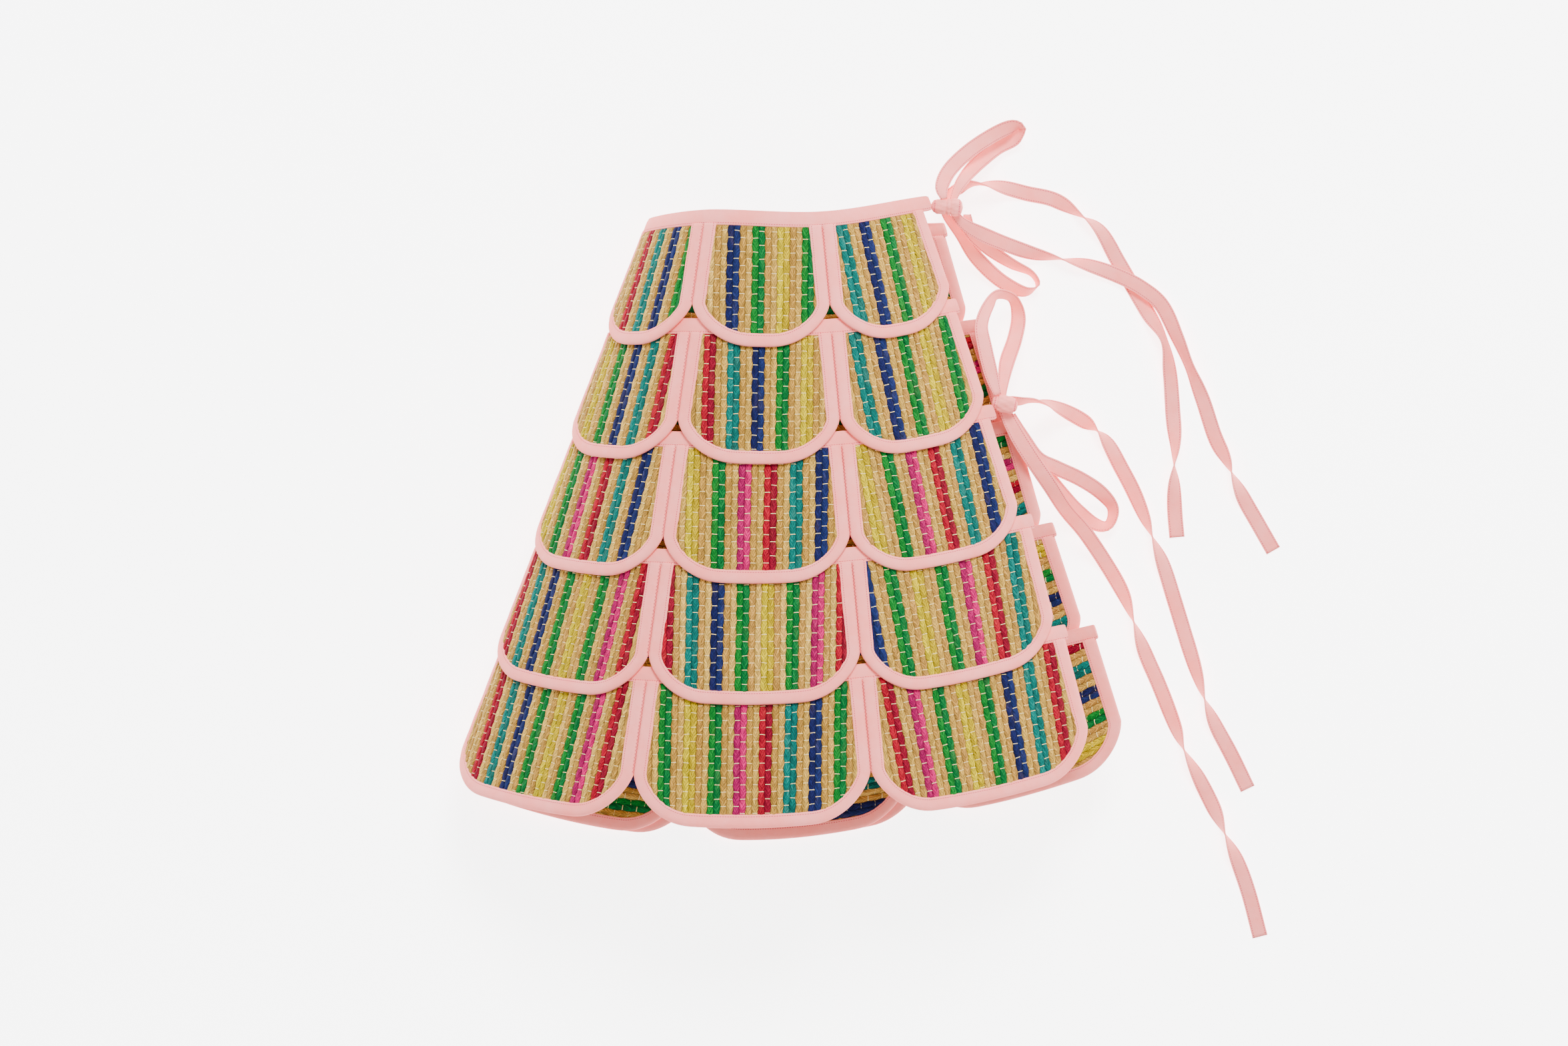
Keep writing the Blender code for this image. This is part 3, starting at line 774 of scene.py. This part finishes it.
def straw_material():
    """Plaited straw: flat straws that lean from each strand's middle to its sides, over its own colour."""
    shader = Shader("straw", 0.6, specular=0.05)
    calc = shader.math
    u, v = shader.thread_uv()
    centred = calc("SUBTRACT", calc("FRACT", u), 0.5)
    fold = calc("ABSOLUTE", centred)
    mm = calc("MULTIPLY", v, STITCH_PITCH)
    wobble_place = shader.vector(calc("MULTIPLY", u, 1.7), calc("MULTIPLY", mm, 0.25))
    wobble = calc("MULTIPLY_ADD", shader.noise(wobble_place, 1.0), 5.0, mm)
    lean = calc("MULTIPLY_ADD", fold, STRAW_LEAN, wobble)
    half_turn = calc("MULTIPLY", calc("GREATER_THAN", centred, 0.0), 0.5)
    count = calc("ADD", calc("MULTIPLY", lean, 1 / STRAW_LENGTH), half_turn)
    straw = calc("FRACT", count)
    gap = calc("MINIMUM", straw, calc("SUBTRACT", 1.0, straw))
    cells = shader.vector(calc("FLOOR", count), calc("FLOOR", calc("MULTIPLY", u, 2.0)))
    each = shader.node("TexWhiteNoise", {"Vector": cells}, "Value", noise_dimensions="2D")
    fibre_place = shader.vector(calc("MULTIPLY", lean, 2.6), calc("MULTIPLY", mm, 0.35), u)
    fibre = shader.noise(fibre_place, 1.0)
    # Masks for the gaps between straws and for each strand's sides. Below they darken the colour as painted
    # shade, and the gaps also sink in the bump.
    gap_shade_and_bump = shader.ramp(gap, 0.0, 0.15)
    side = shader.ramp(fold, 0.34, 0.5, 1.0, 0.0)
    # Each straw's own tone, then its fibres, then painted shade in the gaps between straws and towards each
    # strand's sides.
    tone = calc("MULTIPLY_ADD", each, 0.60, 0.76)
    tone = calc("MULTIPLY", tone, shader.ramp(fibre, 0.28, 0.72, 0.60, 1.36))
    tone = calc("MULTIPLY", tone, calc("MULTIPLY_ADD", gap_shade_and_bump, 0.72, 0.34))
    tone = calc("MULTIPLY", tone, calc("MULTIPLY_ADD", side, 0.50, 0.50))
    dye = shader.node("Attribute", (), "Color", attribute_name="strand")
    patch_place = shader.vector(calc("MULTIPLY", u, 0.9), calc("MULTIPLY", mm, 0.05))
    patches = shader.noise(patch_place, 1.0, 1.0)
    faded = shader.mix(shader.ramp(patches, 0.5, 0.85, 0.0, 0.04), dye, FADED)
    colour = shader.mix(1.0, faded, shader.vector(tone, tone, tone), "MULTIPLY")
    height = calc("MULTIPLY_ADD", fibre, 0.35, gap_shade_and_bump)
    return shader.finish(colour, shader.bump(height, 0.0006, 0.7))


# The pitch of the dashed topstitching, in metres.
TOPSTITCH = 0.0024


def tape_material(name, stitch_lines):
    """Cotton tape: a fine weave, slight creases, and dashed stitching at shares of its width."""
    shader = Shader(name, 0.85, specular=0.08)
    calc = shader.math
    u, v = shader.thread_uv()
    place = shader.node("TexCoord", (), "Object")
    weave = shader.noise(place, 1400.0)
    creases = shader.noise(place, 160.0, 3.0)
    patches = shader.noise(place, 30.0)
    # The pink deepens in random patches, which is the cloth's own uneven tone. It also deepens where the
    # crease noise is low, in the creases' hollows, which is painted shade.
    tone = shader.ramp(calc("ADD", patches, calc("MULTIPLY", creases, 0.5)), 0.4, 1.1, 0.0, 1.0)
    red, green, blue = PINK
    colour = shader.mix(tone, (red, green * 0.88, blue * 0.86), (red, green * 1.1, blue * 1.12))
    dash = calc("FRACT", calc("MULTIPLY", v, 1 / TOPSTITCH))
    on = calc("LESS_THAN", dash, 0.62)
    line = None
    for share, half in stitch_lines:
        near = calc("LESS_THAN", calc("ABSOLUTE", calc("SUBTRACT", u, share)), half)
        line = near if line is None else calc("MAXIMUM", line, near)
    stitch = calc("MULTIPLY", line, on)
    colour = shader.mix(stitch, colour, PINK_THREAD)
    relief = calc("SUBTRACT", calc("MULTIPLY", creases, 0.5), calc("MULTIPLY", line, 0.35))
    return shader.finish(colour, shader.bump(weave, 0.00025, 0.5, Normal=shader.bump(relief, 0.0011, 0.7)))


def thread_material(name, colour):
    """Twisted thread, with painted shade between its turns."""
    shader = Shader(name, 0.6, specular=0.15)
    place = shader.node("TexCoord", (), "Object")
    twist = shader.noise(place, 1100.0)
    # Darker where the twist sinks in the bump: painted shade between the turns.
    twist_shaded = shader.mix(shader.ramp(twist, 0.35, 0.7), tuple(c * 0.78 for c in colour), colour)
    return shader.finish(twist_shaded, shader.bump(twist, 0.0003, 0.5))


STRAW = straw_material()
CREAM_THREAD = thread_material("cream_thread", CREAM)
ROSE_THREAD = thread_material("rose_thread", PINK_THREAD)
# The lines of stitching. Columns: share of the width, half the line's width as such a share.
BINDING_CLOTH = tape_material("binding_cloth", ((0.82, 0.026),))
BAND_CLOTH = tape_material("band_cloth", ((0.86, 0.024),))
TIE_CLOTH = tape_material("tie_cloth", ((0.11, 0.028), (0.89, 0.028)))

# The outline of a tape's section. Columns: share of its half width, share of its half thickness.
TAPE_RING = both_sides((
    (-1.0, 0.3), (-0.94, 0.8), (-0.80, 0.72), (-0.62, 0.95), (0.0, 1.0), (0.62, 0.95), (0.80, 0.72),
    (0.94, 0.8), (1.0, 0.3),
))


def swept(name, points, share, along, material):
    """A closed piece through rings of points, with each ring's share of the width and its length."""
    rows, columns = points.shape[:2]
    faces = grid_faces(rows, columns, wrap=True)
    half = columns // 2
    for base in (0, (rows - 1) * columns):
        for k in range(half - 1):
            faces.append((base + k, base + k + 1, base + columns - 2 - k, base + columns - 1 - k))
    piece = new_piece(name, points.reshape(-1, 3), faces, material, ring_uv(share, along))
    return piece


BAND_HALF = 2.1
BAND_STEP = 5.0
# How far the bands run on past the front's free edge, by tier, and past the back's.
FRONT_OVERHANGS = (10.0, 3.0, 6.8, 3.0, 3.0)
BACK_OVERHANG = 2.4
# The rounded end of a band. Columns: share of its overhang, share of its width.
BAND_ENDS = ((0.4, 1.0), (0.8, 0.97), (1.0, 0.84))


def waist_band(tier):
    """The tape along a tier's top, all round from the front's free edge to the back's."""
    top = TIERS[tier][0]
    stops = [(FRONT_END, -0.5, -FRONT_OVERHANGS[tier] * part, narrow) for part, narrow in reversed(BAND_ENDS)]
    for tile in range(len(COLUMNS)):
        count = max(8, round(float(tile_width(tile, top)) / BAND_STEP))
        stops += [(tile, k / count - 0.5, 0.0, 1.0) for k in range(count)]
    stops += [(BACK_END, 0.5, BACK_OVERHANG * part, narrow) for part, narrow in ((0.0, 1.0), *BAND_ENDS)]
    rings = []
    for n, (tile, share, past, narrow) in enumerate(stops):
        length = top + BAND_WIDTH * (0.5 + 0.5 * TAPE_RING[:, 0] * narrow)
        across = share * tile_width(tile, length) + past
        puff = 1 + 0.05 * math.sin(n * 1.1) + 0.04 * math.sin(n * 0.37 + 1)
        rings.append(on_tier(tile, tier, across, length, BAND_HALF * TAPE_RING[:, 1] * puff))
    points = np.array(rings)
    along = distances(points.mean(axis=1))
    name = f"tier_tape_{tier + 1}" if tier else "waist_tape_1"
    piece = swept(name, points, 0.5 + 0.5 * TAPE_RING[None, :, 0], along, BAND_CLOTH)
    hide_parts(f"band_{tier + 1}")


# The tapes' routes. Columns: x, y, height of its lower side, turn about its length in degrees, share of its
# full width where it has less.
TIES = {
    # Round the tall loop, back under the knot and out to the long tail.
    "waist_tie_a": (
        (154, 312, 70, 20, 0.45), (152, 324, 66, 10, 0.9), (160, 341, 52, 5), (179, 360, 36, 5),
        (202, 376, 22, 10), (221, 385, 14, 30), (231, 383, 9, 60, 0.9), (224, 374, 4, 20), (207, 365, 7, 10),
        (187, 348, 24, 10), (172, 330, 50, 10, 0.8), (164, 314, 59.8, 0, 0.5), (163, 302, 59.8, 0, 0.5),
        (172, 290, 56, 10, 0.7), (190, 280, 45, 10), (217, 270, 24, 0), (243, 262, 7, 35), (269, 257, 0, 88),
        (297, 251, 0, 150), (325, 241, 3.5, 180), (348, 229, 6.5, 180), (368, 212, 3.5, 180),
        (383, 181, 0, 215), (395, 152, 0, 235), (408, 120, 0, 200), (420, 84, 0, 185), (431, 61, 0, 235),
        (438, 44, 0, 290), (449, 22, 0, 350), (461, 1, 0, 360), (477, -27, 0, 360),
    ),
    # Down round the low loop, back under the knot and out to the shorter tail.
    "waist_tie_b": (
        (177, 298, 52, 10, 0.5), (180, 283, 42, 15, 0.9), (199, 266, 20, 35), (222, 252, 4, 50),
        (241, 243, 1, 70, 0.9), (247, 231, 0, 80, 0.9), (234, 225, 3, 130), (211, 236, 4, 160),
        (188, 257, 13, 160), (171, 279, 34, 175, 0.7), (156, 298, 54, 180, 0.5), (155, 312, 56, 180, 0.5),
        (168, 323, 42, 190, 0.8), (185, 328, 25, 255, 0.9), (211, 327, 5, 330), (237, 321, 0, 360),
        (263, 315, 0, 365), (288, 300, 0, 440), (308, 285, 0, 505), (325, 256, 0, 540), (340, 230, 0, 540),
        (355, 204, 0, 530), (370, 178, 0, 480), (376, 146, 0, 520), (379, 107, 0, 540), (381, 77, 0, 590),
        (380, 58, 0, 630), (380, 35, 0, 690), (381, 9, 0, 720), (383, -14, 0, 720),
    ),
    # Up round the open loop, back under the knot and down to the longest tail.
    "side_tie_a": (
        (205, 123, 91, 10, 0.5), (199, 143, 87, 10, 0.9), (193, 169, 82, 20), (190, 190, 76, 30),
        (197, 209, 60, 35, 0.95), (208, 221, 34, 50, 0.9), (223, 217, 14, 50, 0.95), (228, 200, 10, 20),
        (224, 179, 26, 10), (215, 154, 54, 5), (211, 131, 75, 0, 0.6), (210, 117, 81.6, 0, 0.5),
        (214, 104, 82, 0, 0.8), (226, 81, 82.8, 0), (240, 59, 81, 0), (256, 36, 72, 10), (272, 13, 50, 20),
        (292, -9, 24, 10), (314, -40, 3, 0), (330, -68, 0, 30), (340, -95, 0, 90), (352, -127, 0, 165),
        (366, -159, 0, 180), (381, -198, 0, 215), (389, -220, 0, 270), (404, -248, 0, 335),
        (418, -276, 0, 375), (429, -302, 0, 450), (442, -330, 0, 520), (453, -361, 0, 540),
        (464, -403, 0, 540),
    ),
    # Down round the low loop, back under the knot and out to the right.
    "side_tie_b": (
        (219, 104, 79.2, 0, 0.5), (230, 82, 79, 0, 0.9), (244, 62, 76.5, 0), (263, 53, 62, 10),
        (286, 43, 42, 15), (307, 30, 20, 20), (320, 14, 5, 40, 0.95), (316, -2, 1, 50, 0.95),
        (303, -1, 3, 30), (285, 12, 18, 15), (269, 28, 40, 10), (253, 46, 60, 5), (238, 64, 72.5, 0, 0.9),
        (221, 89, 75.6, 0, 0.7), (209, 107, 76.6, 0, 0.5), (212, 117, 77.4, 0, 0.5), (228, 117, 72, 50, 0.8),
        (242, 117, 50, 80), (260, 114, 22, 130), (280, 106, 4, 170), (294, 98, 0, 205), (305, 90, 0, 270),
        (316, 77, 0, 330), (328, 55, 0, 360), (340, 32, 0, 370), (351, 6, 0, 405), (358, -12, 0, 450),
        (370, -42, 0, 520), (381, -77, 0, 540), (392, -113, 0, 545), (402, -146, 0, 580), (409, -170, 0, 630),
        (420, -196, 0, 695), (436, -226, 0, 720), (452, -259, 0, 720),
    ),
}
# The curve's steps between two points of a route, and the steps along the tape.
ROUTE_STEPS = 14
TAPE_STEP = 3.5
# The least height of a tape above the floor.
FLOOR_CLEAR = 0.05


def tie(node, route, seed):
    """A flat tape swept along a smooth curve through its route, with stitched edges and a square end."""
    curve = catmull_rom(np.array([(*row, 1.0)[:5] for row in route]), ROUTE_STEPS)
    rows, even = evenly(curve, round(distances(curve[:, :3])[-1] / TAPE_STEP))
    ahead = np.gradient(rows[:, :3], axis=0)
    ahead /= np.linalg.norm(ahead, axis=1, keepdims=True)
    flat = np.cross((0.0, 0.0, 1.0), ahead)
    flat /= np.linalg.norm(flat, axis=1, keepdims=True)
    rise = np.cross(ahead, flat)
    angle = np.radians(rows[:, 3])[:, None]
    across = flat * np.cos(angle) + rise * np.sin(angle)
    through = rise * np.cos(angle) - flat * np.sin(angle)
    half = TAPE_WIDTH / 2 * rows[:, 4:]
    thick = TAPE_THICKNESS / 2
    reach = half[:, 0] * np.abs(across[:, 2]) + thick * np.abs(through[:, 2])
    centre = np.column_stack([rows[:, :2], np.maximum(rows[:, 2], 0.0) + reach])
    place, level = TAPE_RING.T[:, None, :]
    # Where the tape is gathered near its knot, it folds into lengthwise creases.
    gathered = np.clip((0.97 - rows[:, 4]) * 2.2, 0.0, 1.0)[:, None]
    crease = gathered * 0.9 * np.cos(place * 9 + seed) * (1 - place**2)
    crinkle = 0.12 * ripple(even[:, None] / 9, place * 2, seed)
    height = level * thick + crease + crinkle
    points = centre[:, None] + across[:, None] * (place * half)[..., None]
    points += through[:, None] * height[..., None]
    points[..., 2] = np.maximum(points[..., 2], FLOOR_CLEAR)
    piece = swept(f"tape_{node}", points, 0.5 + 0.5 * place, even, TIE_CLOTH)
    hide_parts(node)


# A knot's outline along its length, from the band's side. Columns: place, share of its half width.
WAIST_LUMPS = (
    (-1.0, 0.0), (-0.97, 0.32), (-0.85, 0.62), (-0.6, 0.80), (-0.3, 0.86), (-0.12, 0.84), (-0.05, 0.70),
    (0.02, 0.88), (0.14, 0.93), (0.2, 0.76), (0.3, 0.92), (0.5, 1.0), (0.75, 0.90), (0.92, 0.62), (1.0, 0.0),
)
SIDE_LUMPS = (
    (-1.0, 0.0), (-0.98, 0.45), (-0.85, 0.72), (-0.7, 0.78), (-0.62, 0.72), (-0.55, 0.92), (-0.2, 1.0),
    (0.2, 1.0), (0.6, 0.96), (0.72, 0.90), (0.78, 0.66), (0.9, 0.60), (0.97, 0.38), (1.0, 0.0),
)
KNOT_STEPS = 64
KNOT_RING = 44


def knot(node, lumps, seed):
    """A knot of tape: creased lumps with a turn of tape pulled tight round them."""
    x, y, z, length, width, height, direction = KNOTS[node]
    turn = math.radians(direction)
    places, shares = np.array(lumps).T
    s = -np.cos(np.linspace(0.0, math.pi, KNOT_STEPS + 1))[:, None]
    a = (np.arange(KNOT_RING) * TAU / KNOT_RING)[None, :]
    fold = 0.05 * np.sin(5 * a + 3.6 * s + seed) + 0.035 * np.sin(9 * a - 5 * s)
    r = np.interp(s, places, shares) * (1 + (fold + 0.03 * np.sin(14 * a + 11 * s + seed)))
    px = s * length / 2
    py = np.cos(a) * r * width / 2
    pz = np.sin(a) * r * height / 2
    points = np.stack([x + px * math.cos(turn) - py * math.sin(turn),
                       y + px * math.sin(turn) + py * math.cos(turn), z + pz], axis=-1)
    uv = np.stack(np.broadcast_arrays(0.5 + 0.5 * s, a * width / 2 * MM), axis=-1).reshape(-1, 2)
    faces = grid_faces(KNOT_STEPS + 1, KNOT_RING, wrap=True)
    piece = new_piece(f"tied_{node}", points.reshape(-1, 3), faces, TIE_CLOTH, uv, weld=True)
    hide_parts(node)


# A mat's mesh, on the front's outer faces and elsewhere: the lines' places over a strand, the step along it.
FRONT_GRID = ((0.0, 0.12, 0.35, 0.65, 0.88), STITCH_PITCH / 8)
PLAIN_GRID = ((0.0, 0.2, 0.5, 0.8), STITCH_PITCH / 3)


def bound_tile(label, nodes, faces, edged, slots, step, seed):
    """A tile's mat, its stitches and its bound edge; the mat's flat size is worked out but not kept."""
    mat, thread = straw_mat("straw_" + label, nodes[0], *faces, slots[0])
    edge = bound_edge("bound_edge_" + label, nodes[1], edged, step, seed)
    flat, area = trapezium(faces[0].panel)


def tile_pieces(tile, tier):
    """A tile of the tube, by its place on its tier."""
    top, bottom, _ = TIERS[tier]
    front = tile in FRONT_TILES
    place = f"{tier + 1}_{COLUMNS[tile]}"
    covered = Panel(tile, tier, top + BAND_WIDTH - MAT_UNDER_BAND, bottom)
    edged = Panel(tile, tier, top + BAND_WIDTH - EDGE_UNDER_BAND, bottom)
    shown = tile if front else BACK_END - tile
    shift, share, stripes = next(row[2:] for row in STRIPES if row[:2] == (shown, tier))
    if front:
        # The front's tiles are listed from right to left, so their strands are too.
        stripes = " ".join(reversed(stripes.split()))
        label, nodes = f"front_{place}", (f"front_mat_{place}", f"front_binding_{place}")
        shift, grid, slots, step = -shift, FRONT_GRID, ("straw", "pink_binding"), FRONT_EDGE_STEP
    else:
        label, nodes = f"back_{place}", (f"back_tile_{place}",) * 2
        grid, slots, step = PLAIN_GRID, ("straw_back",) * 2, PLAIN_EDGE_STEP
    seed = tier * len(COLUMNS) + tile
    outer = Face(covered, 1, True, shift, share, stripes, *grid, seed)
    inner = Face(covered, -1, False, *ROUND_CHANGES.get((tile, tier), (0.0, 1.0)), ROUND_STRIPES[tier],
                 *PLAIN_GRID, seed + 1, ROUND_SLOPES.get(tile, 0.0))
    bound_tile(label, nodes, (outer, inner), edged, slots, step, seed)


# How far below its upper end the under row's mats and bindings start.
UNDER_START = 2.0


def under_row():
    """The two tiles of the row that shows below the back's hem, in the front hem's notches."""
    for tile in (3, 4):
        panel = Panel(tile, len(TIERS) - 1, UNDER_TOP + UNDER_START, LENGTH + UNDER_DROP, shift=UNDER_SHIFT,
                      stand=BINDING_HALF + UNDER_GAP + UNDER_HALF)
        faces = [Face(panel, side, True, 0.0, 1.0, UNDER_STRIPES, *PLAIN_GRID, seed + tile)
                 for side, seed in ((1, 40), (-1, 42))]
        bound_tile(f"under_{COLUMNS[tile]}", ("under_row",) * 2, faces, panel, ("straw_back",) * 2,
                   PLAIN_EDGE_STEP, 44 + tile)


# The zigzag down a seam: a stitch's length, half its width, its reach into each binding, and its distance out
# on the bindings and between them.
SEAM_STITCH = 1.7
SEAM_THREAD_HALF = 0.22
SEAM_REACH = 1.1
SEAM_ON_BINDING = 2.2
SEAM_BETWEEN = 1.5


def seam_thread():
    """The zigzag that joins neighbouring bindings down each seam, on the outside and the inside."""
    side = np.array([1, -1])[:, None, None]
    t = np.array([-1.0, 0.0, 1.0])[:, None]
    w = np.array([-SEAM_THREAD_HALF, SEAM_THREAD_HALF])
    out = side * np.where(t == 0, SEAM_BETWEEN, SEAM_ON_BINDING)
    for tier, (top, bottom, depth) in enumerate(TIERS):
        start = top + BAND_WIDTH + 2.0
        end = bottom - depth + 1.0
        k = np.arange(round((end - start) / SEAM_STITCH))[:, None, None, None]
        slant = np.where(k % 2, SEAM_STITCH / 2, -SEAM_STITCH / 2)
        along = start + (end - start) * k / len(k) + slant * t + w
        points = []
        for tile in range(len(COLUMNS) - 1):
            across = tile_width(tile, along) / 2 + t * SEAM_REACH
            points.extend(on_tier(tile, tier, across, along, out).reshape(-1, 3))
        faces = copied_faces(grid_faces(3, 2), 3 * 2, len(points) // 6)
        piece = new_piece(f"seam_zigzag_{tier + 1}", points, faces, ROSE_THREAD, closed=False)


def main():
    for tier in range(len(TIERS)):
        for tile in range(len(COLUMNS)):
            tile_pieces(tile, tier)
        waist_band(tier)
    under_row()
    seam_thread()
    for k, (node, route) in enumerate(TIES.items()):
        tie(node, route, k)
    knot("waist_knot", WAIST_LUMPS, 0)
    knot("side_knot", SIDE_LUMPS, 1)


CAMERA_HEIGHT = 5.944
CAMERA_LENS = 140.0
WORLD_STRENGTH = 0.9
FLOOR_GLOW = 5.0
# Large soft lights. Columns: place, size, power.
LIGHTS = (((0.5, 2.9, 3.7), 1.6, 430.0), ((2.2, -1.4, 3.6), 3.0, 90.0))


def floor_material():
    """A white table that glows."""
    shader = Shader("floor", 0.9, specular=0.1)
    shader.surface.inputs["Emission Color"].default_value = (1.0, 1.0, 1.0, 1.0)
    shader.surface.inputs["Emission Strength"].default_value = FLOOR_GLOW
    return shader.finish((0.94, 0.94, 0.94))


def stage():
    """The floor, the world, the lights and the camera."""
    bpy.ops.mesh.primitive_plane_add(size=24.0, location=(0.0, 0.0, 0.0))
    floor = bpy.context.active_object
    floor.name = "floor"
    floor.data.materials.append(floor_material())
    world = bpy.data.worlds.new("studio")
    world.use_nodes = True
    background = world.node_tree.nodes["Background"]
    background.inputs["Color"].default_value = (1.0, 1.0, 1.0, 1.0)
    background.inputs["Strength"].default_value = WORLD_STRENGTH
    bpy.context.scene.world = world
    for place, size, power in LIGHTS:
        light = bpy.data.lights.new("softbox", "AREA")
        light.size = size
        light.energy = power
        lamp = bpy.data.objects.new("softbox", light)
        lamp.location = place
        lamp.rotation_mode = "QUATERNION"
        lamp.rotation_quaternion = (-Vector(place)).to_track_quat("-Z", "Y")
        bpy.context.scene.collection.objects.link(lamp)
    camera = bpy.data.cameras.new("camera")
    camera.lens = CAMERA_LENS
    camera.sensor_width = 36.0
    camera.clip_end = 50.0
    eye = bpy.data.objects.new("camera", camera)
    eye.location = (SHIFT[0] * MM, SHIFT[1] * MM, CAMERA_HEIGHT)
    bpy.context.scene.collection.objects.link(eye)
    bpy.context.scene.camera = eye


stage()
main()
